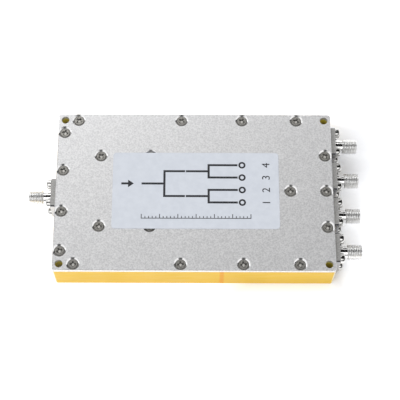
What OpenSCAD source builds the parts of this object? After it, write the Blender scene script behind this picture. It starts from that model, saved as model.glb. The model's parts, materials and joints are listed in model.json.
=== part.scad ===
// Four-way coaxial power splitter: a milled box with a screwed lid, one input jack and four output jacks.
// X runs from the input end to the output end, Y from front to back, Z up from the underside.

/* [Box] */
// Length of the box from the input end to the output end
body_l = 115; // [111:1:140]
// Height of the housing without its lid
housing_h = 14; // [14:0.5:20]
// Thickness of the lid
lid_t = 2; // [1.6:0.1:4]
// Radius of the four upright corners
corner_r = 1; // [0.5:0.25:2.5]
// Thickness of the end walls that carry the jacks
end_wall = 6.5; // [5.5:0.25:8]
// Thickness of the two long walls
side_wall = 6; // [5.5:0.25:8]
// Radius that the milling cutter leaves in the corners of the pocket
mill_r = 3; // [1:0.5:4]

/* [Ports] */
// Distance between neighbouring output jacks
port_pitch = 16; // [15:0.5:22]
// Distance from the axis of an outermost output jack to the side of the box
port_margin = 11; // [10.5:0.5:20]
// Height of the jack axes above the underside
axis_z = 7.5; // [6.75:0.25:7.5]

/* [Pocket] */
// Width of the channel that holds the first split
channel_w = 24; // [18:0.5:26]
// Length of the channel from the input wall to the wide pocket
channel_l = 41; // [38:0.5:42]
// Width of the ridge between the two second splits
ridge_w = 6.8; // [6:0.2:8]
// Length of that ridge from the output wall
ridge_l = 35; // [24:0.5:40]

/* [Corner and lid holes] */
// Diameter of the four corner holes that fix the box
corner_hole_d = 3.2; // [2.6:0.1:3.4]
// Distance from the edges of the lid to its outer rows of holes
edge_inset = 2.8; // [2.8:0.1:3.2]
// Distance from a corner hole to the next screw along an edge
corner_step = 5.7; // [5:0.1:8]
// Distances of the middle long-side screws from the input end
row_screw_x = [52, 77.5]; // [16:0.5:90]
// Distance of the last long-side screws from the output end
row_last_x = 14.5; // [12:0.5:18]
// Distance from the middle to the inner screws of the input end
input_screw_y = 9.2; // [9:0.1:14]
// Distances of the screws beside the channel from the input end
island_screw_x = [18.4, 39.2]; // [10:0.1:40]
// Distance from the channel to the screws beside it
island_screw_gap = 3.75; // [3.25:0.25:6]
// Distance of the ridge screw from the output end
ridge_screw_x = 17.6; // [12:0.1:34]

/* [Lid screws] */
// Thread diameter of a lid screw
lid_screw_d = 2.5; // [2:0.1:2.6]
// Head diameter of a lid screw
lid_head_d = 4.4; // [4:0.1:4.8]
// Diameter of the countersink at the lid's face
sink_d = 5.5; // [5.2:0.1:5.6]
// Length of a lid screw, head included
lid_screw_l = 8; // [6:0.5:10]
// Width of an arm of the cross recess in a lid screw
lid_cross_w = 0.8; // [0.5:0.05:1]
// Length across the cross recess in a lid screw
lid_cross_l = 2.5; // [2:0.1:2.8]
// Depth of the cross recess in a lid screw
lid_cross_depth = 0.8; // [0.5:0.1:1.2]

/* [Label] */
// Length of the label
label_l = 69; // [50:1:70]
// Width of the label
label_w = 34; // [24:1:36]
// Thickness of the label
label_t = 0.15; // [0.1:0.05:0.4]
// Corner radius of the label
label_r = 1.3; // [0.5:0.1:3]
// Offset of the label from the middle of the lid, towards the outputs
label_x = 0.6; // [0:0.1:1.2]

/* [Coaxial jack] */
// Side of the square flange
flange_w = 12.7; // [12.5:0.1:12.9]
// Thickness of the flange
flange_t = 2.2; // [1.5:0.1:2.5]
// Corner radius of the flange
flange_r = 0.5; // [0.2:0.1:1]
// Distance between neighbouring flange holes
flange_hole_pitch = 8.64; // [8.4:0.02:8.68]
// Diameter of the smooth neck between flange and thread
neck_d = 5.6; // [5.2:0.1:6.2]
// Length of the neck
neck_l = 2.4; // [2:0.1:4]
// Diameter of the groove behind the thread
relief_d = 5.3; // [5:0.1:5.5]
// Length of the groove behind the thread
relief_l = 0.9; // [0.4:0.1:1.2]
// Outer diameter of the threaded barrel
thread_d = 6.35; // [6:0.05:6.5]
// Length of the threaded barrel
thread_l = 6.2; // [5:0.1:7]
// Chamfer at the mouth of the barrel
mouth_chamfer = 0.35; // [0.1:0.05:0.5]
// Diameter of the open mouth
mouth_d = 4.6; // [4.5:0.05:4.9]
// Depth of the open mouth down to the insulator
mouth_l = 1.9; // [1:0.1:3]
// Diameter of the insulator
insulator_d = 4.1; // [3.8:0.05:4.3]
// Diameter of the spring contact
contact_d = 1.27; // [1.2:0.01:1.4]
// Diameter of the socket in the contact
socket_d = 0.94; // [0.9:0.01:1]
// Depth of the socket in the contact
socket_l = 3; // [2:0.1:4]
// Width of the slots between the contact's springs
slot_w = 0.2; // [0.1:0.02:0.3]
// Width of the flat tab at the inner end of the contact
tab_w = 1; // [0.6:0.1:1.1]
// Thickness of that tab
tab_t = 0.25; // [0.15:0.05:0.4]
// Length of that tab over the board
tab_l = 2.5; // [2:0.1:3.5]

/* [Flange screws] */
// Thread diameter of a flange screw
flange_screw_d = 2.5; // [2:0.1:2.5]
// Head diameter of a flange screw
flange_head_d = 4; // [3.6:0.1:4]
// Head height of a flange screw
flange_head_h = 2; // [1:0.1:2.4]
// Length of a flange screw under its head
flange_screw_l = 6.5; // [4:0.5:6.5]
// Width of an arm of the cross recess in a flange or board screw
pan_cross_w = 0.6; // [0.4:0.05:0.8]
// Length across the cross recess in a flange or board screw
pan_cross_l = 2; // [1.6:0.1:2.2]
// Depth of the cross recess in a flange or board screw
pan_cross_depth = 0.7; // [0.4:0.1:0.9]

/* [Circuit board] */
// Thickness of the laminate board
board_t = 0.8; // [0.5:0.1:1.6]
// Thickness of the copper network
trace_t = 0.1; // [0.05:0.05:0.2]
// Thread diameter of a board screw
board_screw_d = 2; // [1.6:0.1:2.2]
// Head diameter of a board screw
board_head_d = 3.6; // [3:0.1:3.8]
// Head height of a board screw
board_head_h = 1.2; // [1:0.1:1.6]
// Length of a board screw under its head
board_screw_l = 4; // [3:0.25:5]
// Distance from the pocket walls to the board screws
board_screw_edge = 3.2; // [3:0.1:3.6]

/* [Copper network] */
// Width of the plain lines
line_w = 1.4; // [0.8:0.1:1.6]
// Distance from the end walls to the ends of the network
line_end = 0.6; // [0.5:0.1:1]
// Length of the input line up to the first split
lead_l = 7; // [6:0.25:8]
// Number of folded sections in each split
sections = 4; // [2:1:4]
// Length of one folded section along the box
section_l = 8; // [6.5:0.25:8.5]
// How far a folded section reaches out from the middle of its split
section_reach = 5; // [4:0.1:5.5]
// Line width in the first, narrowest section
narrow_w = 0.5; // [0.3:0.1:0.8]
// Line width in the last, widest section
wide_w = 1.2; // [0.9:0.1:1.4]
// Length of the landing pads between sections
pad_l = 2.4; // [2:0.1:2.8]
// Width of a landing pad
pad_w = 1; // [0.8:0.1:1.4]
// Gap between the landing pads of a pair
pad_gap = 0.9; // [0.7:0.1:1.1]
// Distance from the wall of the wide pocket to the line that spreads the first split's halves
spread_gap = 2; // [1.2:0.1:4]
// Distance from a second split to the line that spreads its two halves
spread_step = 4; // [3.5:0.1:4.5]
// Length of the leads from a second spreading line to the output wall
second_lead = 9; // [8:0.25:15]

/* [Resistors and solder] */
// Length of a chip resistor
resistor_l = 1.6; // [1.4:0.1:2]
// Width of a chip resistor
resistor_w = 0.8; // [0.5:0.1:1.2]
// Height of a chip resistor
resistor_h = 0.45; // [0.3:0.05:0.6]
// Length of a solder joint
solder_l = 1.6; // [1:0.1:2]
// Height of a solder joint above the copper
solder_h = 0.5; // [0.45:0.05:0.6]
// Radius of a solder joint's crown
solder_r = 1; // [0.8:0.05:1.4]

/* [Clearances] */
// Clearance around a screw where it passes freely
free_gap = 0.1; // [0.05:0.05:0.2]
// Clearance between a screw and its tapped hole
thread_gap = 0.05; // [0.02:0.01:0.1]
// Clearance between a countersunk head and its seat
seat_gap = 0.03; // [0.01:0.01:0.1]
// Clearance of the insulator and the contact in their bores
fit_gap = 0.02; // [0.01:0.01:0.05]
// Clearance of the board inside the pocket
board_gap = 0.3; // [0.1:0.05:0.5]
// Extra depth of a tapped hole below its screw
drill_gap = 0.5; // [0.2:0.1:1]

/* [Hidden] */
$fn = 48;
// A cut runs this far past the face that it opens
past = 0.5;

body_d = 3 * port_pitch + 2 * port_margin;
top_z = housing_h + lid_t;
inner_x = body_l / 2 - end_wall;
inner_y = body_d / 2 - side_wall;
hole_x = body_l / 2 - edge_inset;
hole_y = body_d / 2 - edge_inset;

trace_top = axis_z - tab_t / 2;
board_top = trace_top - trace_t;
floor_z = board_top - board_t;

pocket_x = -inner_x + channel_l;
ridge_x = inner_x - ridge_l;

neck_z = flange_t + neck_l;
thread_z = neck_z + relief_l;
mouth_z = thread_z + thread_l;
insulator_z = mouth_z - mouth_l;

head_z = top_z - (sink_d - lid_head_d) / 2 + seat_gap;
free_d = lid_screw_d + 2 * free_gap;

split_1_x = -inner_x + lead_l;
split_l = sections * section_l;
spread_1_x = pocket_x + spread_gap;
spread_2_x = inner_x - second_lead;
split_2_x = spread_2_x - spread_step - split_l;
arm_y = (pad_gap + pad_w) / 2;

corners = [for (x = [-1, 1], y = [-1, 1]) [x * hole_x, y * hole_y]];
row_x = concat([edge_inset + corner_step], row_screw_x, [body_l - row_last_x]);
row_places = [for (x = row_x, y = [-1, 1]) [x - body_l / 2, y * hole_y]];
input_places = [for (y = [input_screw_y, hole_y - corner_step], s = [-1, 1]) [-hole_x, s * y]];
output_places = [for (i = [-1, 0, 1]) [hole_x, i * port_pitch]];
island_places = [for (x = island_screw_x, s = [-1, 1])
    [x - body_l / 2, s * (channel_w / 2 + island_screw_gap)]];
ridge_places = [[body_l / 2 - ridge_screw_x, 0]];
lid_places = concat(row_places, input_places, output_places, island_places, ridge_places);

board_places = [for (s = [-1, 1],
    p = [[-inner_x + board_screw_edge, channel_w / 2 - board_screw_edge],
         [pocket_x + 2 * board_screw_edge, inner_y - board_screw_edge],
         [split_2_x + split_l / 2, inner_y - board_screw_edge],
         [inner_x - board_screw_edge, port_pitch]]) [p[0], s * p[1]]];

// Each port is the end that it sits on, -1 for input and 1 for output, and its place across the box
INPUT = [-1, 0];
OUTPUTS = [for (i = [-1.5, -0.5, 0.5, 1.5]) [1, i * port_pitch]];
PORTS = concat([INPUT], OUTPUTS);
flange_places = [for (x = [-1, 1], y = [-1, 1]) [x, y] * flange_hole_pitch / 2];

// A flat rectangle between two corners, with true arcs at its own corners
module round_plan(low, high, r) {
    translate(low + [r, 0]) square(high - low - [2 * r, 0]);
    translate(low + [0, r]) square(high - low - [0, 2 * r]);
    for (x = [low[0] + r, high[0] - r], y = [low[1] + r, high[1] - r])
        translate([x, y]) circle(r);
}

// A square cornered bar between two corners, given in any order
module bar(a, b) {
    translate([min(a[0], b[0]), min(a[1], b[1])])
        square([abs(b[0] - a[0]), abs(b[1] - a[1])]);
}

// A straight line of copper along X or Y, with square ends that lap what it joins
module line(a, b, w = line_w) {
    low = [min(a[0], b[0]), min(a[1], b[1])];
    high = [max(a[0], b[0]), max(a[1], b[1])];
    bar(low - [w, w] / 2, high + [w, w] / 2);
}

// The outline shared by the lid and the housing
module box_plan() {
    half = [body_l, body_d] / 2;
    round_plan(-half, half, corner_r);
}

// The fork-shaped pocket: a channel, two wide pockets and the open place where they meet
module pocket_plan(gap) {
    r = mill_r - gap;
    round_plan([-inner_x + gap, gap - channel_w / 2], [pocket_x + 2 * mill_r, channel_w / 2 - gap], r);
    for (s = [0, 1]) mirror([0, s])
        round_plan([pocket_x + gap, ridge_w / 2 + gap], [inner_x - gap, inner_y - gap], r);
    bar([pocket_x + gap, -ridge_w / 2 - mill_r], [ridge_x - gap, ridge_w / 2 + mill_r]);
}

module at_places(places, z) {
    for (p = places) translate([p[0], p[1], z]) children();
}

// Stands a jack on its wall: its own Z points outwards, from zero at the wall's face
module at_port(port) {
    translate([port[0] * body_l / 2, port[1], axis_z]) rotate([0, port[0] * 90, 0]) children();
}

// The cross recess of a screw, opening upwards at zero
module cross_recess(l, w, depth) {
    for (a = [0, 90]) rotate(a) translate([-l / 2, -w / 2, -depth]) cube([l, w, depth + past]);
}

module pan_screw(d, l, head_d, head_h) {
    difference() {
        union() {
            translate([0, 0, -l]) cylinder(d = d, h = l + head_h / 2);
            rotate_extrude() intersection() {
                square([head_d / 2, head_h]);
                translate([0, head_h - head_d]) circle(head_d);
            }
        }
        translate([0, 0, head_h]) cross_recess(pan_cross_l, pan_cross_w, pan_cross_depth);
    }
}

module housing() {
    color("goldenrod") difference() {
        linear_extrude(housing_h) box_plan();
        translate([0, 0, floor_z]) linear_extrude(housing_h - floor_z + past) pocket_plan(0);
        at_places(corners, -past) cylinder(d = corner_hole_d, h = housing_h + 2 * past);
        at_places(lid_places, head_z - lid_screw_l - drill_gap)
            cylinder(d = lid_screw_d + 2 * thread_gap, h = lid_screw_l + drill_gap);
        at_places(board_places, board_top - board_screw_l - drill_gap)
            cylinder(d = board_screw_d + 2 * thread_gap, h = board_screw_l + drill_gap);
        for (port = PORTS) at_port(port) {
            translate([0, 0, -end_wall - past])
                cylinder(d = insulator_d + 2 * fit_gap, h = end_wall + 2 * past);
            at_places(flange_places, flange_t - flange_screw_l - drill_gap)
                cylinder(d = flange_screw_d + 2 * thread_gap, h = flange_screw_l + drill_gap);
        }
    }
}

module lid() {
    color("silver") translate([0, 0, housing_h]) difference() {
        linear_extrude(lid_t) box_plan();
        at_places(corners, -past) cylinder(d = corner_hole_d, h = lid_t + 2 * past);
        at_places(lid_places, -past) cylinder(d = free_d, h = lid_t + 2 * past);
        at_places(lid_places, lid_t - (sink_d - free_d) / 2)
            cylinder(d1 = free_d, d2 = sink_d + 2 * past, h = (sink_d - free_d) / 2 + past);
    }
}

module label() {
    half = [label_l, label_w] / 2;
    color("lightsteelblue") translate([label_x, 0, top_z])
        linear_extrude(label_t) round_plan(-half, half, label_r);
}

module lid_screws() {
    head_h = (lid_head_d - lid_screw_d) / 2;
    color("gray") at_places(lid_places, head_z) difference() {
        union() {
            translate([0, 0, -lid_screw_l]) cylinder(d = lid_screw_d, h = lid_screw_l - head_h / 2);
            translate([0, 0, -head_h]) cylinder(d1 = lid_screw_d, d2 = lid_head_d, h = head_h);
        }
        cross_recess(lid_cross_l, lid_cross_w, lid_cross_depth);
    }
}

module circuit_board() {
    color("ivory") translate([0, 0, floor_z]) difference() {
        linear_extrude(board_t) pocket_plan(board_gap);
        at_places(board_places, -past) cylinder(d = board_screw_d + 2 * free_gap, h = board_t + 2 * past);
    }
}

module board_screws() {
    color("silver") at_places(board_places, board_top)
        pan_screw(board_screw_d, board_screw_l, board_head_d, board_head_h);
}

// One split: two arms of folded sections that widen step by step, drawn from its first pad
module split_plan() {
    for (s = [0, 1]) mirror([0, s]) {
        for (i = [0:sections]) translate([i * section_l, 0])
            bar([-pad_l / 2, pad_gap / 2], [pad_l / 2, pad_gap / 2 + pad_w]);
        for (i = [0:sections - 1]) translate([i * section_l, 0]) {
            w = narrow_w + (wide_w - narrow_w) * i / (sections - 1);
            left = pad_l / 2 - w;
            right = section_l - pad_l / 2 + w;
            difference() {
                bar([left, pad_gap / 2], [right, section_reach]);
                bar([left + w, 0], [right - w, section_reach - w]);
            }
        }
    }
    bar([-pad_l / 2, -pad_gap / 2 - pad_w], [pad_l / 2 - narrow_w, pad_gap / 2 + pad_w]);
}

// One half of the network past the first split, for the back outputs
module back_half_plan() {
    line([split_1_x + split_l, arm_y], [spread_1_x, arm_y]);
    line([spread_1_x, arm_y], [spread_1_x, port_pitch]);
    line([spread_1_x, port_pitch], [split_2_x, port_pitch]);
    translate([split_2_x, port_pitch]) split_plan();
    translate([0, port_pitch]) for (s = [0, 1]) mirror([0, s]) {
        line([split_2_x + split_l, arm_y], [spread_2_x, arm_y]);
        line([spread_2_x, arm_y], [spread_2_x, port_pitch / 2]);
        line([spread_2_x, port_pitch / 2], [inner_x - line_end - line_w / 2, port_pitch / 2]);
    }
}

module signal_trace() {
    color("peru") translate([0, 0, board_top]) linear_extrude(trace_t) {
        line([-inner_x + line_end + line_w / 2, 0], [split_1_x, 0]);
        translate([split_1_x, 0]) split_plan();
        for (s = [0, 1]) mirror([0, s]) back_half_plan();
    }
}

// Chip resistors across the pads of one split
module resistor_row(x, y) {
    color("dimgray") for (i = [1:sections])
        translate([x + i * section_l - resistor_w / 2, y - resistor_l / 2, trace_top])
            cube([resistor_w, resistor_l, resistor_h]);
}

module stage_one_resistors() {
    resistor_row(split_1_x, 0);
}

module back_resistors() {
    resistor_row(split_2_x, port_pitch);
}

module front_resistors() {
    resistor_row(split_2_x, -port_pitch);
}

module solder_joints() {
    color("lightgray") for (port = PORTS)
        translate([port[0] * (inner_x - tab_l / 2), port[1], trace_top]) difference() {
            rotate([90, 0, 90]) linear_extrude(solder_l, center = true) intersection() {
                translate([0, solder_h - solder_r]) circle(solder_r);
                translate([-solder_r, 0]) square([2 * solder_r, solder_h]);
            }
            translate([-solder_l, -tab_w / 2, -past]) cube([2 * solder_l, tab_w, past + tab_t]);
        }
}

module jack_shell(port) {
    half = [flange_w, flange_w] / 2;
    color("silver") at_port(port) difference() {
        union() {
            linear_extrude(flange_t) round_plan(-half, half, flange_r);
            rotate_extrude() polygon([
                [0, 0], [neck_d / 2, 0], [neck_d / 2, neck_z], [relief_d / 2, neck_z],
                [relief_d / 2, thread_z], [thread_d / 2, thread_z],
                [thread_d / 2, mouth_z - mouth_chamfer], [thread_d / 2 - mouth_chamfer, mouth_z],
                [0, mouth_z]]);
        }
        translate([0, 0, -past]) cylinder(d = insulator_d + 2 * fit_gap, h = insulator_z + past);
        translate([0, 0, insulator_z]) cylinder(d = mouth_d, h = mouth_l + past);
        at_places(flange_places, -past) cylinder(d = flange_screw_d + 2 * free_gap, h = flange_t + 2 * past);
    }
}

module jack_dielectric(port) {
    color("white") at_port(port) translate([0, 0, -end_wall]) difference() {
        cylinder(d = insulator_d, h = end_wall + insulator_z);
        translate([0, 0, -past]) cylinder(d = contact_d + 2 * fit_gap, h = end_wall + insulator_z + 2 * past);
    }
}

module jack_contact(port) {
    color("gold") at_port(port) difference() {
        union() {
            translate([0, 0, -end_wall]) cylinder(d = contact_d, h = end_wall + insulator_z);
            translate([-tab_t / 2, -tab_w / 2, -end_wall - tab_l]) cube([tab_t, tab_w, 2 * tab_l]);
        }
        translate([0, 0, insulator_z - socket_l]) cylinder(d = socket_d, h = socket_l + past);
        for (a = [0, 90]) rotate(a) translate([-contact_d, -slot_w / 2, insulator_z - socket_l])
            cube([2 * contact_d, slot_w, socket_l + past]);
    }
}

module jack_flange_screws(port) {
    color("darkgray") at_port(port) at_places(flange_places, flange_t)
        pan_screw(flange_screw_d, flange_screw_l, flange_head_d, flange_head_h);
}

housing();
lid();
label();
lid_screws();
circuit_board();
board_screws();
signal_trace();
stage_one_resistors();
back_resistors();
front_resistors();
solder_joints();
jack_shell(INPUT);  // input_shell
jack_dielectric(INPUT);  // input_dielectric
jack_contact(INPUT);  // input_contact
jack_flange_screws(INPUT);  // input_flange_screws
jack_shell(OUTPUTS[0]);  // output_1_shell
jack_dielectric(OUTPUTS[0]);  // output_1_dielectric
jack_contact(OUTPUTS[0]);  // output_1_contact
jack_flange_screws(OUTPUTS[0]);  // output_1_flange_screws
jack_shell(OUTPUTS[1]);  // output_2_shell
jack_dielectric(OUTPUTS[1]);  // output_2_dielectric
jack_contact(OUTPUTS[1]);  // output_2_contact
jack_flange_screws(OUTPUTS[1]);  // output_2_flange_screws
jack_shell(OUTPUTS[2]);  // output_3_shell
jack_dielectric(OUTPUTS[2]);  // output_3_dielectric
jack_contact(OUTPUTS[2]);  // output_3_contact
jack_flange_screws(OUTPUTS[2]);  // output_3_flange_screws
jack_shell(OUTPUTS[3]);  // output_4_shell
jack_dielectric(OUTPUTS[3]);  // output_4_dielectric
jack_contact(OUTPUTS[3]);  // output_4_contact
jack_flange_screws(OUTPUTS[3]);  // output_4_flange_screws
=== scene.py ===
# %% [markdown]
# # A four-way coaxial power splitter
# The real object is a flat box, about as long as a hand: a block of aluminium milled hollow and finished
# yellow, closed by a pale grey lid. One small coaxial jack sits on the left end and four on the right end.
# The box is already built to size in CAD, so this lesson dresses it: it adds the edges, threads and screw
# heads that are too fine for the CAD model, gives every surface its finish, and lights and frames it as a
# product photograph.

# %% Load the fixed frame
import json
import math
import bmesh
import bpy
from mathutils import Matrix, Vector


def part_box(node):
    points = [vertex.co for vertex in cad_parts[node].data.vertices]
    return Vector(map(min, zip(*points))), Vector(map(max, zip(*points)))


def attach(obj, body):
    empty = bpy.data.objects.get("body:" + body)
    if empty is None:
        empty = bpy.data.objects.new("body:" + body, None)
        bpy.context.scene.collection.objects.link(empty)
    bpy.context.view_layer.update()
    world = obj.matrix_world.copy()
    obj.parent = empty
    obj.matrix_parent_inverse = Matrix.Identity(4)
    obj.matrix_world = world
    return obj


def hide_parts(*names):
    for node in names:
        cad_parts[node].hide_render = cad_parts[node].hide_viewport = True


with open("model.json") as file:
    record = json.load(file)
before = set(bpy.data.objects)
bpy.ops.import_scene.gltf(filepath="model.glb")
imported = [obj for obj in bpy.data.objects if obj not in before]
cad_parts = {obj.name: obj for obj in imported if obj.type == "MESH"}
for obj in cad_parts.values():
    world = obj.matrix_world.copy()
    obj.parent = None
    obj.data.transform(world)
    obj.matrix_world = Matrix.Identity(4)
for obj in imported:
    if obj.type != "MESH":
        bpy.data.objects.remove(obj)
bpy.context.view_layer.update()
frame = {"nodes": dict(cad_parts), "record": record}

MM = 0.001

# %% [markdown]
# ## The camera
# The photograph looks down on the lid from the front, about 22 degrees off the vertical, through a long
# lens. One way to find such a camera is to try angles by hand. Here the corners of the lid and its screws
# were matched to the picture instead, which gives the place, the tilt, the small turn and roll, and the
# lens at one stroke.

# %% Place the camera
CAMERA_PLACE = Vector((0.58, -193.23, 474.27)) * MM
CAMERA_TURN = -0.531
CAMERA_TILT = 22.408
CAMERA_ROLL = 0.671
LENS = 108.16
SENSOR_WIDTH = 36.0

camera_data = bpy.data.cameras.new("camera")
camera_data.lens = LENS
camera_data.sensor_width = SENSOR_WIDTH
camera = bpy.data.objects.new("camera", camera_data)
bpy.context.scene.collection.objects.link(camera)
bpy.context.scene.camera = camera
camera.matrix_world = (
    Matrix.Translation(CAMERA_PLACE)
    @ Matrix.Rotation(math.radians(CAMERA_TURN), 4, "Z")
    @ Matrix.Rotation(math.radians(CAMERA_TILT), 4, "X")
    @ Matrix.Rotation(math.radians(CAMERA_ROLL), 4, "Z")
)
print("camera", round(CAMERA_PLACE.length, 3), "m from the box")

# %% [markdown]
# ## Tools for building meshes
# Nearly every piece here was drilled, milled or turned, so it is made of outlines: circles, rounded
# rectangles and the cross of a screwdriver recess. Boolean cuts could make them, but they leave ragged
# triangles. Stacking outlines instead and joining each to the next gives clean strips, and a flat face with
# holes is one fill between outlines. Small steps at the rims become the broken edges that catch the light.

# %% Outlines
def circle(r, count, x=0.0, y=0.0):
    turns = [2 * math.pi * i / count for i in range(count)]
    return [(x + r * math.cos(t), y + r * math.sin(t)) for t in turns]


def round_rect(width, depth, r, steps=6):
    points = []
    for k, (sx, sy) in enumerate([(1, 1), (-1, 1), (-1, -1), (1, -1)]):
        for i in range(steps + 1):
            t = math.pi / 2 * (k + i / steps)
            x = sx * (width / 2 - r) + r * math.cos(t)
            y = sy * (depth / 2 - r) + r * math.sin(t)
            points.append((x, y))
    return points


def cross(length, width):
    a, b = length / 2, width / 2
    arm = [(a, -b), (a, b), (b, b)]
    quarter_turns = [(1, 0), (0, 1), (-1, 0), (0, -1)]
    return [(x * c - y * s, x * s + y * c) for c, s in quarter_turns for x, y in arm]


print("points in a cross:", len(cross(2, 1)))

# %% [markdown]
# Three tools turn outlines into surfaces. One places an outline at a height, one joins a stack of outlines
# with strips, and one closes a flat face and leaves its holes open. The last two can also pick the finish
# of what they make, by its number in the list of finishes that the piece gets. A fourth tool turns the mesh
# into a named piece of the object, and hides the CAD node that the piece stands for.

# %% Skins and fills
def loop(bm, outline, z):
    return [bm.verts.new((x, y, z)) for x, y in outline]


def skin(bm, loops, coat=0):
    for low, high in zip(loops, loops[1:]):
        for i in range(len(low)):
            j = (i + 1) % len(low)
            face = bm.faces.new((low[i], low[j], high[j], high[i]))
            face.material_index = coat


def fill(bm, loops, coat=0):
    edges = []
    for points in loops:
        for a, b in zip(points, points[1:] + points[:1]):
            edges.append(bm.edges.get((a, b)) or bm.edges.new((a, b)))
    made = bmesh.ops.triangle_fill(bm, use_beauty=True, edges=edges)
    for item in made["geom"]:
        if isinstance(item, bmesh.types.BMFace):
            item.material_index = coat


SHARP_ANGLE = math.radians(32)


def piece(name, bm, finishes, slot, *stands_for):
    bmesh.ops.recalc_face_normals(bm, faces=bm.faces)
    mesh = bpy.data.meshes.new(name)
    bm.to_mesh(mesh)
    bm.free()
    mesh.shade_smooth()
    mesh.set_sharp_from_angle(angle=SHARP_ANGLE)
    for coat in finishes:
        mesh.materials.append(coat)
    made = bpy.data.objects.new(name, mesh)
    bpy.context.scene.collection.objects.link(made)
    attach(made, "root")
    if stands_for:
        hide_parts(*stands_for)
    print(name, len(mesh.vertices), "points,", len(mesh.polygons), "faces")


print("edges stay sharp above", round(math.degrees(SHARP_ANGLE)), "degrees")

# %% [markdown]
# ## Tools for finishes
# A finish is a small tree of nodes that ends in one shader. Painted pictures would tie the finish to one
# unwrapped mesh. Noise that is worked out from the place in space needs no unwrapping and has a true scale
# in millimetres, so each helper below takes the size of its grain in millimetres.

# %% Colour, grain and sums
LOW_STOP, HIGH_STOP = 0.35, 0.65


def finish(name, metallic=0.0, roughness=0.5):
    made = bpy.data.materials.new(name)
    made.use_nodes = True
    shader = made.node_tree.nodes["Principled BSDF"]
    shader.inputs["Metallic"].default_value = metallic
    shader.inputs["Roughness"].default_value = roughness
    return made, made.node_tree, shader


def place(tree):
    return tree.nodes.new("ShaderNodeTexCoord").outputs["Object"]


def grain(tree, size_mm, stretch=(1, 1, 1), detail=3.0):
    spread = tree.nodes.new("ShaderNodeMapping")
    spread.inputs["Scale"].default_value = [1 / (size_mm * MM * s) for s in stretch]
    noise = tree.nodes.new("ShaderNodeTexNoise")
    noise.inputs["Scale"].default_value = 1.0
    noise.inputs["Detail"].default_value = detail
    tree.links.new(place(tree), spread.inputs["Vector"])
    tree.links.new(spread.outputs["Vector"], noise.inputs["Vector"])
    return noise.outputs["Fac"]


def ramp(tree, value, low, high):
    made = tree.nodes.new("ShaderNodeValToRGB")
    for stop, at, colour in zip(made.color_ramp.elements, (LOW_STOP, HIGH_STOP), (low, high)):
        stop.position = at
        stop.color = (*colour, 1.0) if hasattr(colour, "__len__") else (colour, colour, colour, 1.0)
    tree.links.new(value, made.inputs["Fac"])
    return made.outputs["Color"]


def work(tree, operation, *values):
    made = tree.nodes.new("ShaderNodeMath")
    made.operation = operation
    for socket, value in zip(made.inputs, values):
        if isinstance(value, (int, float)):
            socket.default_value = value
        else:
            tree.links.new(value, socket)
    return made.outputs[0]


def length(tree, a, b):
    squares = [work(tree, "POWER", v, 2.0) for v in (a, b)]
    return work(tree, "SQRT", work(tree, "ADD", *squares))


print("grain runs between", LOW_STOP, "and", HIGH_STOP, "of the noise")

# %% [markdown]
# The second half of the tools makes masks and reliefs. A fade turns a place or a direction into a soft
# step, a tint lays one colour over another where a mask says so, and a bump lets the grain be felt. A
# finish that is only two tones, a gloss and a grain needs no more than the last helper.

# %% Masks, tints and reliefs
BUMP_STRENGTH = 0.5
BEVEL_SAMPLES = 4


def fade(tree, value, start, end):
    made = tree.nodes.new("ShaderNodeMapRange")
    made.interpolation_type = "SMOOTHSTEP"
    made.inputs["From Min"].default_value = start
    made.inputs["From Max"].default_value = end
    tree.links.new(value, made.inputs["Value"])
    return made.outputs["Result"]


def split(tree, vector):
    made = tree.nodes.new("ShaderNodeSeparateXYZ")
    tree.links.new(vector, made.inputs["Vector"])
    return made.outputs["X"], made.outputs["Y"], made.outputs["Z"]


def tint(tree, under, colour, mask):
    made = tree.nodes.new("ShaderNodeMix")
    made.data_type = "RGBA"
    made.inputs["B"].default_value = (*colour, 1.0)
    tree.links.new(mask, made.inputs["Factor"])
    tree.links.new(under, made.inputs["A"])
    return made.outputs["Result"]


def bump(tree, shader, height, depth_mm, edge_mm=0.0):
    made = tree.nodes.new("ShaderNodeBump")
    made.inputs["Strength"].default_value = BUMP_STRENGTH
    made.inputs["Distance"].default_value = depth_mm * MM
    tree.links.new(height, made.inputs["Height"])
    if edge_mm:
        softened = tree.nodes.new("ShaderNodeBevel")
        softened.samples = BEVEL_SAMPLES
        softened.inputs["Radius"].default_value = edge_mm * MM
        tree.links.new(softened.outputs["Normal"], made.inputs["Normal"])
    tree.links.new(made.outputs["Normal"], shader.inputs["Normal"])


def simple_finish(name, low, high, metallic, rough, size_mm, bump_mm):
    made, tree, shader = finish(name, metallic)
    cloud = grain(tree, size_mm)
    tree.links.new(ramp(tree, cloud, low, high), shader.inputs["Base Color"])
    tree.links.new(ramp(tree, grain(tree, size_mm / 2), *rough), shader.inputs["Roughness"])
    bump(tree, shader, grain(tree, size_mm / 3), bump_mm)
    return made


print("bump strength", BUMP_STRENGTH)

# %% [markdown]
# ## The finishes
# The lid is bare aluminium with a fine matt skin. Paint would look dead and mirror metal too hard, so it
# lies between them: mostly metal, with a medium roughness and a grain of about half a millimetre.

# %% The grey lid
lid_grey, tree, shader = finish("lid_grey", metallic=0.62)
mottle = grain(tree, size_mm=0.6, detail=4.0)
lid_tone = ramp(tree, mottle, (0.675, 0.675, 0.683), (0.875, 0.875, 0.881))
tree.links.new(lid_tone, shader.inputs["Base Color"])
tree.links.new(ramp(tree, grain(tree, size_mm=0.6), 0.38, 0.48), shader.inputs["Roughness"])
bump(tree, shader, grain(tree, size_mm=0.35), depth_mm=0.02, edge_mm=0.1)
print("finish:", lid_grey.name)
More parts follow.
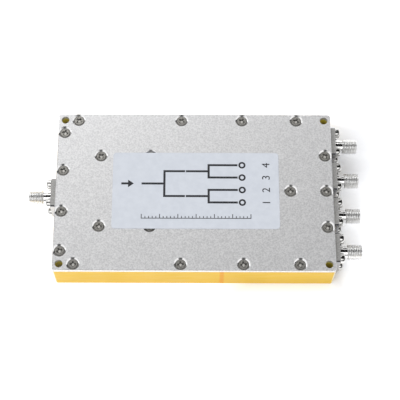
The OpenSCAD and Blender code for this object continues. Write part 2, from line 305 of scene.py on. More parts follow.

# %% [markdown]
# The yellow coat grows on the bare metal in a bath, so it is never quite even. It drifts a little along the
# box, and one darker streak runs down the front. In the deep fixing holes it is tinted greener as painted
# shade, and on the rounded upright corners it is tinted pale as a painted highlight. Each of these is a
# mask worked out from the place or from the way the surface faces, and tints the coat below it.

# %% Masks of the housing
STREAK_X = 11.3 * MM
STREAK_HALF = 1.3 * MM
STREAK_CORE = 0.3
FRONT_SKIN = 0.1 * MM
HOLE_REACH = 1.1
CORNER_START, CORNER_END = 0.12, 0.55

mounts = {m["name"]: m for m in frame["record"]["mounts"]}
fixing = mounts["fixing_holes"]["dims"]
fixing_r = fixing["hole_r_mm"] * MM
fixing_x = fixing["spacing_x_mm"] / 2 * MM
fixing_y = fixing["spacing_y_mm"] / 2 * MM
front_y, back_y = [corner.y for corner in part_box("housing")]

housing_yellow, tree, shader = finish("housing_yellow", metallic=0.15)
x, y, z = split(tree, place(tree))
from_streak = work(tree, "ABSOLUTE", work(tree, "SUBTRACT", x, STREAK_X))
in_streak = work(tree, "SUBTRACT", 1.0, fade(tree, from_streak, STREAK_CORE * STREAK_HALF, STREAK_HALF))
on_front = work(tree, "LESS_THAN", y, front_y + FRONT_SKIN)
streak = work(tree, "MULTIPLY", in_streak, on_front)
hole_x = work(tree, "SUBTRACT", work(tree, "ABSOLUTE", x), fixing_x)
hole_y = work(tree, "SUBTRACT", work(tree, "ABSOLUTE", y), fixing_y)
# painted shade: a mask of the deep fixing holes, where the coat is tinted greener
shaded_hole = work(tree, "LESS_THAN", length(tree, hole_x, hole_y), HOLE_REACH * fixing_r)
facing = split(tree, tree.nodes.new("ShaderNodeNewGeometry").outputs["Normal"])
# painted highlight: a mask of the rounded upright corners, found from the way the surface faces
on_corner = work(tree, "ABSOLUTE", work(tree, "MULTIPLY", facing[0], facing[1]))
corner_highlight = fade(tree, on_corner, CORNER_START, CORNER_END)
print("front face at", round(front_y / MM, 1), "mm, back face at", round(back_y / MM, 1), "mm")

# %% [markdown]
# With the masks at hand, the coat is built up as it would be in layers of paint: the drifting yellow first,
# then the streak, the painted highlight on the corners and the painted shade in the holes. The cutter that
# milled the sides ran along them, so the grain that roughens them is drawn out lengthwise.

# %% The yellow housing
STREAK_ORANGE = (0.82, 0.37, 0.004)
# painted highlight: the pale cream of the rounded upright corners
CORNER_HIGHLIGHT_CREAM = (0.95, 0.88, 0.66)
# painted shade: the greener olive of the dim, deep fixing holes
HOLE_SHADE_OLIVE = (0.80, 0.70, 0.15)

coat = ramp(tree, grain(tree, size_mm=30.0), (0.785, 0.495, 0.029), (0.835, 0.535, 0.042))
coat = tint(tree, coat, STREAK_ORANGE, streak)
# painted highlight, pale on the rounded upright corners
coat = tint(tree, coat, CORNER_HIGHLIGHT_CREAM, corner_highlight)
# painted shade, greener in the deep fixing holes
coat = tint(tree, coat, HOLE_SHADE_OLIVE, shaded_hole)
shader.inputs["Specular IOR Level"].default_value = 0.3
tree.links.new(coat, shader.inputs["Base Color"])
milled = grain(tree, size_mm=1.5, stretch=(8, 8, 1))
tree.links.new(ramp(tree, milled, 0.38, 0.52), shader.inputs["Roughness"])
bump(tree, shader, grain(tree, size_mm=0.5, stretch=(6, 6, 1)), depth_mm=0.02, edge_mm=0.15)
print("finish:", housing_yellow.name)

# %% [markdown]
# The rest are plain metals and plastics, which differ only in colour, gloss and size of grain. A jack has
# four of them: its milled faces are dull, its sides and chamfers smoother, its turned neck is bright and
# its thread satin. A screw has three: the head, the walls of its recess darkened as painted shade, and a
# painted highlight on the bottom of the recess. The lid screws also have a rim of painted shade.

# %% Metals of the screws
bright_steel = simple_finish(
    "bright_steel", (0.55, 0.545, 0.53), (0.74, 0.735, 0.72),
    metallic=1.0, rough=(0.08, 0.16), size_mm=1.5, bump_mm=0.07,
)
screw_steel = simple_finish(
    "screw_steel", (0.265, 0.257, 0.237), (0.41, 0.398, 0.37),
    metallic=0.5, rough=(0.22, 0.34), size_mm=0.5, bump_mm=0.012,
)
# painted shade: a dark steel for the walls of the screw recesses and the rim of each lid screw head
shade_steel = simple_finish(
    "shade_steel", (0.11, 0.107, 0.102), (0.165, 0.162, 0.153),
    metallic=0.5, rough=(0.3, 0.45), size_mm=0.5, bump_mm=0.004,
)
# painted highlight: a near-white steel for the bright bottom of each screw recess
glint_steel = simple_finish(
    "glint_steel", (0.83, 0.81, 0.76), (0.93, 0.91, 0.86),
    metallic=0.3, rough=(0.25, 0.35), size_mm=0.4, bump_mm=0.01,
)
cut_metal = simple_finish(
    "cut_metal", (0.86, 0.86, 0.86), (0.94, 0.94, 0.94),
    metallic=1.0, rough=(0.06, 0.14), size_mm=0.4, bump_mm=0.004,
)
print("finishes:", len(bpy.data.materials))

# %% [markdown]
# The metals of the jacks come next. One finish for a whole jack would be simpler, but the faces of a real
# one are cut in different ways, and the light shows it. The insulator is a white plastic, and the contact
# in its middle is gold-plated.

# %% Metals and plastic of the jacks
flange_metal = simple_finish(
    "flange_metal", (0.27, 0.267, 0.26), (0.38, 0.376, 0.368),
    metallic=0.1, rough=(0.36, 0.48), size_mm=0.5, bump_mm=0.01,
)
side_metal = simple_finish(
    "side_metal", (0.44, 0.45, 0.475), (0.52, 0.53, 0.555),
    metallic=1.0, rough=(0.08, 0.16), size_mm=0.8, bump_mm=0.004,
)
barrel_metal = simple_finish(
    "barrel_metal", (0.84, 0.835, 0.83), (0.92, 0.915, 0.91),
    metallic=1.0, rough=(0.03, 0.08), size_mm=0.8, bump_mm=0.002,
)
thread_metal = simple_finish(
    "thread_metal", (0.84, 0.84, 0.835), (0.92, 0.92, 0.915),
    metallic=1.0, rough=(0.29, 0.37), size_mm=0.5, bump_mm=0.004,
)
white_plastic = simple_finish(
    "white_plastic", (0.84, 0.84, 0.82), (0.91, 0.91, 0.90),
    metallic=0.0, rough=(0.45, 0.6), size_mm=0.8, bump_mm=0.01,
)
gold = simple_finish(
    "gold", (0.80, 0.56, 0.18), (0.88, 0.64, 0.25),
    metallic=1.0, rough=(0.2, 0.32), size_mm=0.4, bump_mm=0.004,
)
print("finishes:", len(bpy.data.materials))

# %% [markdown]
# The board and its parts lie under the lid, where no view reaches them. They still get true finishes,
# because someone may lift the lid off this model one day. The label is a satin foil, and its print is a
# matt ink.

# %% The board, the label and the print
laminate = simple_finish(
    "laminate", (0.72, 0.68, 0.55), (0.82, 0.79, 0.68),
    metallic=0.0, rough=(0.55, 0.7), size_mm=0.5, bump_mm=0.02,
)
copper = simple_finish(
    "copper", (0.74, 0.42, 0.26), (0.84, 0.52, 0.34),
    metallic=1.0, rough=(0.28, 0.4), size_mm=0.7, bump_mm=0.004,
)
chip_black = simple_finish(
    "chip_black", (0.02, 0.02, 0.02), (0.06, 0.06, 0.055),
    metallic=0.0, rough=(0.3, 0.5), size_mm=0.3, bump_mm=0.01,
)
solder = simple_finish(
    "solder", (0.58, 0.59, 0.60), (0.72, 0.73, 0.74),
    metallic=1.0, rough=(0.2, 0.4), size_mm=0.6, bump_mm=0.02,
)
label_foil = simple_finish(
    "label_foil", (0.572, 0.605, 0.665), (0.607, 0.64, 0.70),
    metallic=0.0, rough=(0.4, 0.5), size_mm=2.5, bump_mm=0.01,
)
print_ink = simple_finish(
    "print_ink", (0.012, 0.013, 0.018), (0.03, 0.031, 0.038),
    metallic=0.0, rough=(0.5, 0.65), size_mm=0.4, bump_mm=0.004,
)
print("finishes:", len(bpy.data.materials))

# %% [markdown]
# ## Dressing the CAD nodes
# Pieces whose CAD shape is already right keep it and only get a finish: the housing, the label, the
# insulators, the contacts and all that lies inside. Modelling them again would add nothing that can be
# seen.

# %% Give the CAD nodes their finishes
JACKS = ["input", "output_1", "output_2", "output_3", "output_4"]
dress = {
    "housing": housing_yellow,
    "label": label_foil,
    "circuit_board": laminate,
    "board_screws": screw_steel,
    "signal_trace": copper,
    "stage_one_resistors": chip_black,
    "back_resistors": chip_black,
    "front_resistors": chip_black,
    "solder_joints": solder,
}
for jack in JACKS:
    dress[jack + "_dielectric"] = white_plastic
    dress[jack + "_contact"] = gold
for node, coat in dress.items():
    mesh = frame["nodes"][node].data
    mesh.materials.clear()
    mesh.materials.append(coat)
print("dressed", len(dress), "CAD nodes")

# %% [markdown]
# ## Where the screws sit
# The CAD model holds the twenty lid screws as one node. Typing their places again would risk a slip, so
# they are read back: the node's mesh falls apart into loose solids, and the middle of each is the place of
# a screw.

# %% Find the loose solids of a node
SAME_POINT = 1e-6


def solids(node):
    bm = bmesh.new()
    bm.from_mesh(frame["nodes"][node].data)
    bmesh.ops.remove_doubles(bm, verts=bm.verts, dist=SAME_POINT)
    found, seen = [], set()
    for start in bm.verts:
        if start in seen:
            continue
        seen.add(start)
        group, edge = [], [start]
        while edge:
            v = edge.pop()
            group.append(v.co.copy())
            for e in v.link_edges:
                other = e.other_vert(v)
                if other not in seen:
                    seen.add(other)
                    edge.append(other)
        low = Vector([min(p[k] for p in group) for k in range(3)])
        high = Vector([max(p[k] for p in group) for k in range(3)])
        found.append((low, high))
    bm.free()
    return found


lid_screw_boxes = solids("lid_screws")
lid_screw_places = [((a + b) / 2).to_2d() for a, b in lid_screw_boxes]
print(len(lid_screw_places), "lid screws")

# %% [markdown]
# ## The lid
# A flat plate, two millimetres thick, with a countersunk hole for every screw and four plain holes at its
# corners. A cube with boolean holes would do, but its rims would be razor sharp. Built from outlines, its
# outer edge and the plain holes get a small broken edge, as a deburred plate has. The countersinks are
# freshly cut, so they are brighter than the face.

# %% Build the lid
CUT = 1
LID_CORNER = 1.0 * MM
EDGE_BREAK = 0.15 * MM
RIM_BREAK = 0.06 * MM
SINK_R = 2.75 * MM
FREE_R = 1.35 * MM
ROUND = 40

fixing_places = [(sx * fixing_x, sy * fixing_y) for sx in (-1, 1) for sy in (-1, 1)]
low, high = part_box("lid")
size = high - low
bm = bmesh.new()


def lid_edge(inset):
    return round_rect(size.x - 2 * inset, size.y - 2 * inset, LID_CORNER - inset)


rim = [
    loop(bm, lid_edge(EDGE_BREAK), low.z),
    loop(bm, lid_edge(0), low.z + EDGE_BREAK),
    loop(bm, lid_edge(0), high.z - EDGE_BREAK),
    loop(bm, lid_edge(EDGE_BREAK), high.z),
]
skin(bm, rim)
under, over = [rim[0]], [rim[-1]]
for x, y in lid_screw_places:
    steps = [
        (FREE_R, low.z),
        (FREE_R, high.z - (SINK_R - FREE_R)),
        (SINK_R, high.z),
    ]
    hole = [loop(bm, circle(r, ROUND, x, y), z) for r, z in steps]
    skin(bm, hole, CUT)
    under.append(hole[0])
    over.append(hole[-1])
for x, y in fixing_places:
    steps = [
        (fixing_r + RIM_BREAK, low.z),
        (fixing_r, low.z + RIM_BREAK),
        (fixing_r, high.z - RIM_BREAK),
        (fixing_r + RIM_BREAK, high.z),
    ]
    hole = [loop(bm, circle(r, ROUND, x, y), z) for r, z in steps]
    skin(bm, hole)
    under.append(hole[0])
    over.append(hole[-1])
fill(bm, under)
fill(bm, over)
piece("lid_plate", bm, [lid_grey, cut_metal], "grey_lid", "lid")

# %% [markdown]
# ## The screws
# The lid screws have flat countersunk heads, the flange screws round-shouldered pan heads, and both have a
# cross recess whose flutes narrow towards the bottom. Both are turned pieces, so one function stacks their
# rings from tip to head and closes the top with a face that has the cross cut out of it.

# %% One cross-head screw
# finish numbers of a screw: painted shade second, painted highlight third
SHADE, GLINT = 1, 2
TIP_BREAK = 0.3 * MM
FLUTE_LENGTH_TAPER = 0.45
FLUTE_WIDTH_TAPER = 0.75
SCREW_ROUND = 32


def cross_screw(bm, matrix, rings, arm, width, depth, rim_coat=0):
    before = len(bm.verts)
    stack = [loop(bm, circle(r, SCREW_ROUND), z) for r, z in rings]
    skin(bm, stack[:-1])
    # the head's last band, its rim, takes rim_coat: painted shade on the lid screws
    skin(bm, stack[-2:], rim_coat)
    fill(bm, [stack[0]])
    top = rings[-1][1]
    mouth = loop(bm, cross(arm, width), top)
    bottom = cross(arm * FLUTE_LENGTH_TAPER, width * FLUTE_WIDTH_TAPER)
    floor = loop(bm, bottom, top - depth)
    fill(bm, [stack[-1], mouth])
    # painted shade on the recess walls and a painted highlight on the recess bottom
    skin(bm, [mouth, floor], SHADE)
    fill(bm, [floor], GLINT)
    bm.verts.ensure_lookup_table()
    bmesh.ops.transform(bm, matrix=matrix, verts=bm.verts[before:])


print("flutes narrow to", FLUTE_LENGTH_TAPER, "of their length")

# %% [markdown]
# Each lid screw sits a little below the face of the lid. Its place and length come from the CAD solid, and
# its turn from its number: steps of 2.4 radians never line up, just as real screws stop wherever they are
# tight. Random turns would look the same, but would have to be seeded.

# %% Twenty lid screws
HEAD_R = 2.2 * MM
SHANK_R = 1.25 * MM
LID_CROSS = (2.6 * MM, 0.8 * MM, 0.85 * MM)
HEAD_RIM = 0.15 * MM
GOLDEN_TURN = 2.4

bm = bmesh.new()
for i, (low, high) in enumerate(lid_screw_boxes):
    screw_length = high.z - low.z
    cone = HEAD_R - SHANK_R
    rings = [
        (SHANK_R - TIP_BREAK, -screw_length),
        (SHANK_R, -screw_length + TIP_BREAK),
        (SHANK_R, -cone),
        (HEAD_R - HEAD_RIM, -HEAD_RIM),
        (HEAD_R - 2 * HEAD_RIM, 0.0),
    ]
    middle = (low + high) / 2
    stand = Matrix.Translation((middle.x, middle.y, high.z)) @ Matrix.Rotation(GOLDEN_TURN * i, 4, "Z")
    # each lid screw head gets a rim of painted shade; its second and third finishes are painted shade and a
    # painted highlight
    cross_screw(bm, stand, rings, *LID_CROSS, rim_coat=SHADE)
piece("lid_cross_screws", bm, [screw_steel, shade_steel, glint_steel], "screw_steel", "lid_screws")

# %% [markdown]
# ## The coaxial jacks
# Each jack is turned and milled from one bar: a square flange with four holes, a smooth neck, a groove
# where the thread cutter ran out, and a threaded barrel with an open mouth. All five are alike, so each is
# built upright at the origin and then turned against its end of the box, at the place that the CAD record
# gives.

# %% Where each jack stands
wall_x = (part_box("housing")[1].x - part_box("housing")[0].x) / 2
axis_z = mounts["input_mouth"]["pos_m"][2]


def jack_stand(jack):
    side = mounts[jack + "_mouth"]["axis"][0]
    y = mounts[jack + "_mouth"]["pos_m"][1]
    return Matrix.Translation((side * wall_x, y, axis_z)) @ Matrix.Rotation(side * math.pi / 2, 4, "Y")


print("jacks stand", round(wall_x / MM, 2), "mm from the middle")

# %% [markdown]
# The thread is what the eye catches, so it is real geometry: the barrel is a grid whose radius follows a
# helix of 36 turns to the inch. A normal map would look the same from far off, but it would vanish at the
# silhouette. The thread runs in softly from the groove and is cut off by the chamfer at the mouth.

# %% The threaded barrel
PITCH = 25.4 / 36 * MM
THREAD_DEPTH = 0.38 * MM
FLANK_SLOPE = 1.25
ROOT_FLAT = 0.1
RUN_IN_TURNS = 0.4
ROWS_PER_TURN = 12
BARREL_ROUND = 64


def thread_share(turns):
    wave = abs(2 * (turns % 1.0) - 1)
    return min(1.0, max(0.0, FLANK_SLOPE * wave - ROOT_FLAT))


def barrel_loops(bm, start, end, r, chamfer):
    made = []
    count = round((end - start) / PITCH * ROWS_PER_TURN)
    for k in range(count + 1):
        z = start + (end - start) * k / count
        run_in = min(1.0, (z - start) / (RUN_IN_TURNS * PITCH))
        crest = min(r, r - chamfer + (end - z))
        row = []
        for i in range(BARREL_ROUND):
            turn = i / BARREL_ROUND
            share = thread_share((z - start) / PITCH - turn)
            here = r - THREAD_DEPTH + THREAD_DEPTH * share * run_in
            here = min(here, crest)
            row.append((here * math.cos(2 * math.pi * turn), here * math.sin(2 * math.pi * turn)))
        made.append(loop(bm, row, z))
    return made


print("thread pitch in mm:", round(PITCH / MM, 3))

# %% [markdown]
# The flange's corners are small flat chamfers, and its four holes sit on the usual square for this size of
# jack. A turned piece is one long strip here: it climbs the neck and the thread, folds over the rim and
# goes down the bore. Which finish a face gets follows from where it is and which way it looks.

# %% Sizes and finishes of a jack
FLANGE_T = 2.2 * MM
FLANGE_R = 0.5 * MM
FLANGE_BREAK = 0.12 * MM
HOLE_R = 1.35 * MM
HOLE_PITCH = 8.64 * MM
HOLE_ROUND = 24
NECK_R = 2.8 * MM
NECK_L = 2.4 * MM
RELIEF_R = 2.65 * MM
RELIEF_L = 0.9 * MM
MOUTH_CHAMFER = 0.35 * MM
BORE_R = 2.07 * MM
MILLED, THREADED, SMOOTH = 1, 2, 3
LOOKS_ACROSS = 0.3

hole_places = [(sx * HOLE_PITCH / 2, sy * HOLE_PITCH / 2) for sx in (-1, 1) for sy in (-1, 1)]
neck_end = FLANGE_T + NECK_L
thread_start = neck_end + RELIEF_L


def square_edge(width, inset):
    return round_rect(width - 2 * inset, width - 2 * inset, FLANGE_R - inset, steps=1)


def turned(bm, steps):
    return [loop(bm, circle(r, BARREL_ROUND), z) for r, z in steps]


def pick_finishes(bm, mouth_r):
    bmesh.ops.recalc_face_normals(bm, faces=bm.faces)
    for face in bm.faces:
        middle = face.calc_center_median()
        from_axis = middle.xy.length
        if middle.z < FLANGE_T and from_axis > NECK_R:
            face.material_index = MILLED if abs(face.normal.y) < LOOKS_ACROSS else SMOOTH
        elif middle.z > thread_start and from_axis > mouth_r + RIM_BREAK:
            face.material_index = THREADED


print("thread starts", round(thread_start / MM, 2), "mm from the wall")

# %% [markdown]
# With these tools, a jack is its flange, its four holes and its one long strip, closed at the back and at
# the front of the flange by a fill. Copies of one mesh would do for all five, but each takes its width and
# reach from its own CAD solid, so a change there is followed here.

# %% Build the five jacks
for jack in JACKS:
    low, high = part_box(jack + "_shell")
    flange_w = high.y - low.y
    reach = high.x - low.x
    thread_r = mounts[jack + "_thread"]["dims"]["r_mm"] * MM
    mouth_r = mounts[jack + "_mouth"]["dims"]["r_mm"] * MM
    mouth_l = mounts[jack + "_mouth"]["dims"]["length_mm"] * MM
    bm = bmesh.new()
    edge = [
        loop(bm, square_edge(flange_w, FLANGE_BREAK), 0.0),
        loop(bm, square_edge(flange_w, 0), FLANGE_BREAK),
        loop(bm, square_edge(flange_w, 0), FLANGE_T - FLANGE_BREAK),
        loop(bm, square_edge(flange_w, FLANGE_BREAK), FLANGE_T),
    ]
    skin(bm, edge)
    back, front = [edge[0]], [edge[-1]]
    for x, y in hole_places:
        hole = [loop(bm, circle(HOLE_R, HOLE_ROUND, x, y), z) for z in (0.0, FLANGE_T)]
        skin(bm, hole)
        back.append(hole[0])
        front.append(hole[-1])
    outside = turned(bm, [
        (NECK_R + FLANGE_BREAK, FLANGE_T),
        (NECK_R, FLANGE_T + FLANGE_BREAK),
        (NECK_R, neck_end - FLANGE_BREAK),
        (NECK_R - FLANGE_BREAK, neck_end),
        (RELIEF_R, neck_end),
        (RELIEF_R, thread_start),
    ])
    outside += barrel_loops(bm, thread_start, reach, thread_r, MOUTH_CHAMFER)
    inside = turned(bm, [
        (mouth_r + RIM_BREAK, reach),
        (mouth_r, reach - RIM_BREAK),
        (mouth_r, reach - mouth_l),
        (BORE_R, reach - mouth_l),
        (BORE_R, 0.0),
    ])
    skin(bm, outside + inside)
    back.append(inside[-1])
    front.append(outside[0])
    fill(bm, back)
    fill(bm, front)
    pick_finishes(bm, mouth_r)
    bmesh.ops.transform(bm, matrix=jack_stand(jack), verts=bm.verts)
    jack_finishes = [barrel_metal, flange_metal, thread_metal, side_metal]
    piece(jack + "_jack", bm, jack_finishes, "jack_metal", jack + "_shell")

# %% [markdown]
# ## The flange screws
# Four pan-head screws hold each jack. The round shoulder of a head is an arc turned about the screw's axis,
# and the same function as before cuts the cross. A squashed ball would come close, but a pan head has a
# flat top and an upright side, which the light shows.

# %% Twenty flange screws
PAN_R = 2.0 * MM
PAN_H = 2.0 * MM
PAN_SIDE = 1.2 * MM
PAN_FLAT_R = 1.2 * MM
PAN_LENGTH = 6.5 * MM
PAN_STEPS = 6
PAN_CROSS = (2.1 * MM, 0.6 * MM, 0.75 * MM)
FLANGE_SHANK_R = 1.25 * MM

crown = []
for k in range(PAN_STEPS + 1):
    t = math.pi / 2 * k / PAN_STEPS
    r = PAN_FLAT_R + (PAN_R - PAN_FLAT_R) * math.cos(t)
    crown.append((r, PAN_SIDE + (PAN_H - PAN_SIDE) * math.sin(t)))
pan_rings = [
    (FLANGE_SHANK_R - TIP_BREAK, -PAN_LENGTH),
    (FLANGE_SHANK_R, -PAN_LENGTH + TIP_BREAK),
    (FLANGE_SHANK_R, 0.0),
    (PAN_R - RIM_BREAK, 0.0),
    (PAN_R, RIM_BREAK),
    *crown,
]
for j, jack in enumerate(JACKS):
    bm = bmesh.new()
    for i, (x, y) in enumerate(hole_places):
        stand = (
            jack_stand(jack)
            @ Matrix.Translation((x, y, FLANGE_T))
            @ Matrix.Rotation(GOLDEN_TURN * (len(hole_places) * j + i), 4, "Z")
        )
        cross_screw(bm, stand, pan_rings, *PAN_CROSS)
    # the second and third finishes are painted shade and a painted highlight
    pan_finishes = [bright_steel, shade_steel, glint_steel]
    piece(jack + "_pan_screws", bm, pan_finishes, "screw_steel", jack + "_flange_screws")

# %% [markdown]
# ## The print on the label
# The foil label carries a plain diagram of what the box does: an arrow goes in, one line splits into two
# and then into four, and each line ends in a ring with its port's number. A scale runs along the bottom. An
# image would blur up close, so the print is a film of ink with true outlines, two hundredths of a
# millimetre thick.

# %% Outlines of the print
INK_T = 0.02 * MM
LINE = 0.9 * MM
ARROW_SPREAD = 0.7
LONG_EVERY = 5
SHORT_SHARE = 0.55


def arrow(x, y, reach, head):
    end = x + reach
    neck = end - head
    upper = [(x, LINE / 2), (neck, LINE / 2), (neck, head * ARROW_SPREAD), (end, 0.0)]
    lower = [(px, -py) for px, py in reversed(upper[:-1])]
    return [(px, y + py) for px, py in upper + lower]


def fork(x, y, stem, spread, tine):
    bus = x + stem
    end = bus + tine
    half = LINE / 2
    upper = [
        (x, half),
        (bus, half),
        (bus, spread + half),
        (end, spread + half),
        (end, spread - half),
        (bus + LINE, spread - half),
    ]
    lower = [(px, -py) for px, py in reversed(upper)]
    return [(px, y + py) for px, py in upper + lower]


def scale_bar(x, y, step, count, line, tick):
    points = [(x + step * count + line, y), (x, y)]
    for i in range(count + 1):
        tall = tick if i % LONG_EVERY == 0 else SHORT_SHARE * tick
        points += [(x + step * i, y + tall), (x + step * i + line, y + tall)]
        if i < count:
            points += [(x + step * i + line, y + line), (x + step * (i + 1), y + line)]
    return points


def ink(bm, z, *outlines):
    under = [loop(bm, outline, z) for outline in outlines]
    over = [loop(bm, outline, z + INK_T) for outline in outlines]
    for low_loop, high_loop in zip(under, over):
        skin(bm, [low_loop, high_loop])
    fill(bm, under)
    fill(bm, over)


print("ink is", INK_T / MM, "mm thick")

# %% [markdown]
# A fork is one outline, drawn above its middle line and mirrored below it. Each shape stops just short of
# the next, so nothing overlaps, and every place is measured from the label's middle or its ends.

# %% Draw the diagram
low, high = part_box("label")
middle = (low + high) / 2
PORTS = len(JACKS) - 1
GAP = 0.35 * MM
ROW = 5.6 * MM
DIAGRAM_Y = middle.y + 3.0 * MM
DIAGRAM_X = middle.x - 22.5 * MM
ARROW_X = low.x + 3.6 * MM
ARROW_L = 5.2 * MM
ARROW_HEAD = 2.4 * MM
STEM_1, TINE_1 = 9.0 * MM, 9.0 * MM
STEM_2, TINE_2 = 9.0 * MM, 12.5 * MM
RING_R = 1.5 * MM
RING_HOLE = 0.75 * MM
RING_ROUND = 32
SCALE_Y = middle.y - 12.6 * MM
SCALE_STEP = 1.5 * MM
SCALE_COUNT = 30
SCALE_LINE = 0.3 * MM
SCALE_TICK = 2.0 * MM

bm = bmesh.new()
ink(bm, high.z, arrow(ARROW_X, DIAGRAM_Y, ARROW_L, ARROW_HEAD))
ink(bm, high.z, fork(DIAGRAM_X, DIAGRAM_Y, STEM_1, ROW, TINE_1))
second_x = DIAGRAM_X + STEM_1 + TINE_1 + GAP
ring_x = second_x + STEM_2 + TINE_2 + GAP + RING_R
for side in (-1, 1):
    ink(bm, high.z, fork(second_x, DIAGRAM_Y + side * ROW, STEM_2, ROW / 2, TINE_2))
row_places = [DIAGRAM_Y + (k - (PORTS - 1) / 2) * ROW for k in range(PORTS)]
for y in row_places:
    ink(bm, high.z, circle(RING_R, RING_ROUND, ring_x, y), circle(RING_HOLE, RING_ROUND, ring_x, y))
ink(bm, high.z, scale_bar(DIAGRAM_X, SCALE_Y, SCALE_STEP, SCALE_COUNT, SCALE_LINE, SCALE_TICK))
print("diagram:", len(bm.verts), "points")

# %% [markdown]
# The numbers of the ports are letters of the built-in font. A text object keeps its own kind of data, so
# each is turned into a mesh, laid down beside its ring and joined to the rest of the ink.

# %% Add the port numbers
NUMBER_SIZE = 4.6 * MM
NUMBER_X = high.x - 5.2 * MM

for k, y in enumerate(row_places):
    curve = bpy.data.curves.new("port_number", "FONT")
    curve.body = str(k + 1)
    curve.size = NUMBER_SIZE
    curve.extrude = INK_T / 2
    curve.align_x = "CENTER"
    curve.align_y = "CENTER"
    letter = bpy.data.objects.new("port_number", curve)
    mesh = letter.to_mesh()
    laid = Matrix.Translation((NUMBER_X, y, high.z + INK_T / 2)) @ Matrix.Rotation(math.pi / 2, 4, "Z")
    mesh.transform(laid)
    bm.from_mesh(mesh)
    letter.to_mesh_clear()
    bpy.data.objects.remove(letter)
    bpy.data.curves.remove(curve)
piece("label_print", bm, [print_ink], None)

# %% [markdown]
# ## The stage
# The product lies on a white table under soft light. More light would bleach the table, but the object with
# it. So the floor shows brighter than it is lit, to the camera and in reflections alike: strongly on the
# open table in front, behind, to the left and far off, and only a little beside the output jacks, where the
# shadows stay.

# %% The floor
FLOOR_HALF = 3.0
FLOOR_CELLS = 8
FLOOR_WHITE = (0.94, 0.95, 0.975, 1)
bpy.context.scene.view_settings.view_transform = "Standard"

bm = bmesh.new()
bmesh.ops.create_grid(bm, x_segments=FLOOR_CELLS, y_segments=FLOOR_CELLS, size=FLOOR_HALF)
mesh = bpy.data.meshes.new("floor")
bm.to_mesh(mesh)
bm.free()
floor = bpy.data.objects.new("floor", mesh)
bpy.context.scene.collection.objects.link(floor)
table_white, tree, shader = finish("table_white", roughness=0.8)
shader.inputs["Base Color"].default_value = FLOOR_WHITE
mesh.materials.append(table_white)
print("floor", 2 * FLOOR_HALF, "m wide")

# %% [markdown]
# Each part of the table is a mask again, a soft step along one direction or away from the middle. The
# brightest of the masks wins, so they can overlap freely.

# %% The bright table
FLOOR_GLOW = 0.04
SIDE_GLOW = 0.25
OPEN_GLOW = 0.65
SIDE_FROM_Y, SIDE_TO_Y = 25 * MM, -10 * MM
OFF_WALL_FROM, OFF_WALL_TO = wall_x + 1 * MM, wall_x + 7 * MM
FRONT_FROM, FRONT_TO = front_y + 3 * MM, front_y - 12 * MM
BEHIND_FROM, BEHIND_TO = back_y, back_y + 12 * MM
LEFT_FROM, LEFT_TO = 30 * MM, 0 * MM
FAR_FROM, FAR_TO = 100 * MM, 200 * MM


def seen_directly(tree):
    path = tree.nodes.new("ShaderNodeLightPath")
    total = path.outputs["Is Camera Ray"]
    for name in ("Is Glossy Ray", "Is Transmission Ray"):
        total = work(tree, "MAXIMUM", total, path.outputs[name])
    return total


x, y, z = split(tree, place(tree))
off_wall = fade(tree, x, OFF_WALL_FROM, OFF_WALL_TO)
beside = work(tree, "MULTIPLY", fade(tree, y, SIDE_FROM_Y, SIDE_TO_Y), off_wall)
beside = work(tree, "MULTIPLY", beside, SIDE_GLOW)
clear = fade(tree, y, FRONT_FROM, FRONT_TO)
for part in (
    fade(tree, y, BEHIND_FROM, BEHIND_TO),
    fade(tree, x, LEFT_FROM, LEFT_TO),
    fade(tree, length(tree, x, y), FAR_FROM, FAR_TO),
):
    clear = work(tree, "MAXIMUM", clear, part)
clear = work(tree, "MULTIPLY", clear, OPEN_GLOW)
glow = work(tree, "ADD", work(tree, "MAXIMUM", beside, clear), FLOOR_GLOW)
shader.inputs["Emission Color"].default_value = (1, 1, 1, 1)
tree.links.new(work(tree, "MULTIPLY", seen_directly(tree), glow), shader.inputs["Emission Strength"])
print("table glow from", FLOOR_GLOW, "to", round(FLOOR_GLOW + OPEN_GLOW, 2))

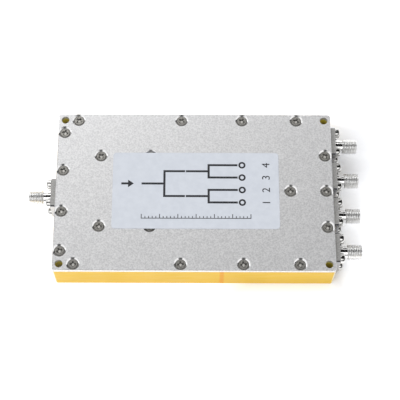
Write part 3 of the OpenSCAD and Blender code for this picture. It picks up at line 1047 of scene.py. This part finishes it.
# %% [markdown]
# Metal shows the room around it, so the room matters more than the lamps. A real studio has a white sweep
# low down, darkness above it and one dark spot straight in front, where the camera's stand is. That is what
# reflections see here, as bands worked out from the direction. Matt surfaces get one even level of room
# light instead.

# %% The room
ROOM_LIGHT = 0.65
WALLS = 0.02
FRONT = 0.11
SWEEP_END, DARK_START = 0.36, 0.50
SPOT_EDGE, SPOT_CORE = -0.80, -0.92
SPOT_LOW, SPOT_HIGH = 0.15, 0.28

world = bpy.data.worlds.new("room")
bpy.context.scene.world = world
world.use_nodes = True
tree = world.node_tree
back = tree.nodes["Background"]
back.inputs["Color"].default_value = (1, 1, 1, 1)
x, y, z = split(tree, tree.nodes.new("ShaderNodeTexCoord").outputs["Generated"])
bands = work(tree, "MULTIPLY_ADD", fade(tree, z, SWEEP_END, DARK_START), WALLS - 1.0, 1.0)
dark_spot = work(tree, "MULTIPLY", fade(tree, y, SPOT_EDGE, SPOT_CORE), fade(tree, z, SPOT_LOW, SPOT_HIGH))
past_spot = work(tree, "MULTIPLY_ADD", dark_spot, FRONT - 1.0, 1.0)
shown = work(tree, "MULTIPLY", bands, past_spot)
level = tree.nodes.new("ShaderNodeMapRange")
level.inputs["To Min"].default_value = ROOM_LIGHT
tree.links.new(seen_directly(tree), level.inputs["Value"])
tree.links.new(shown, level.inputs["To Max"])
tree.links.new(level.outputs["Result"], back.inputs["Strength"])
print("room: walls", WALLS, "front", FRONT)

# %% [markdown]
# Two soft boxes light the object itself. The key hangs over the front, and the window at the back left
# gives the lid its bright left side. Small hard lamps would be simpler, but metal would show them as
# points.

# %% Lamps
def softbox(name, place_m, width, depth, watts):
    data = bpy.data.lights.new(name, "AREA")
    data.shape = "RECTANGLE"
    data.size = width
    data.size_y = depth
    data.energy = watts
    lamp = bpy.data.objects.new(name, data)
    bpy.context.scene.collection.objects.link(lamp)
    lamp.location = place_m
    lamp.rotation_euler = (-Vector(place_m)).to_track_quat("-Z", "Y").to_euler()
    print(name, watts, "W")


softbox("key", place_m=(-0.24, -0.62, 0.95), width=1.3, depth=0.9, watts=5.5)
softbox("window", place_m=(-0.32, 0.80, 0.95), width=1.1, depth=0.5, watts=5.1)
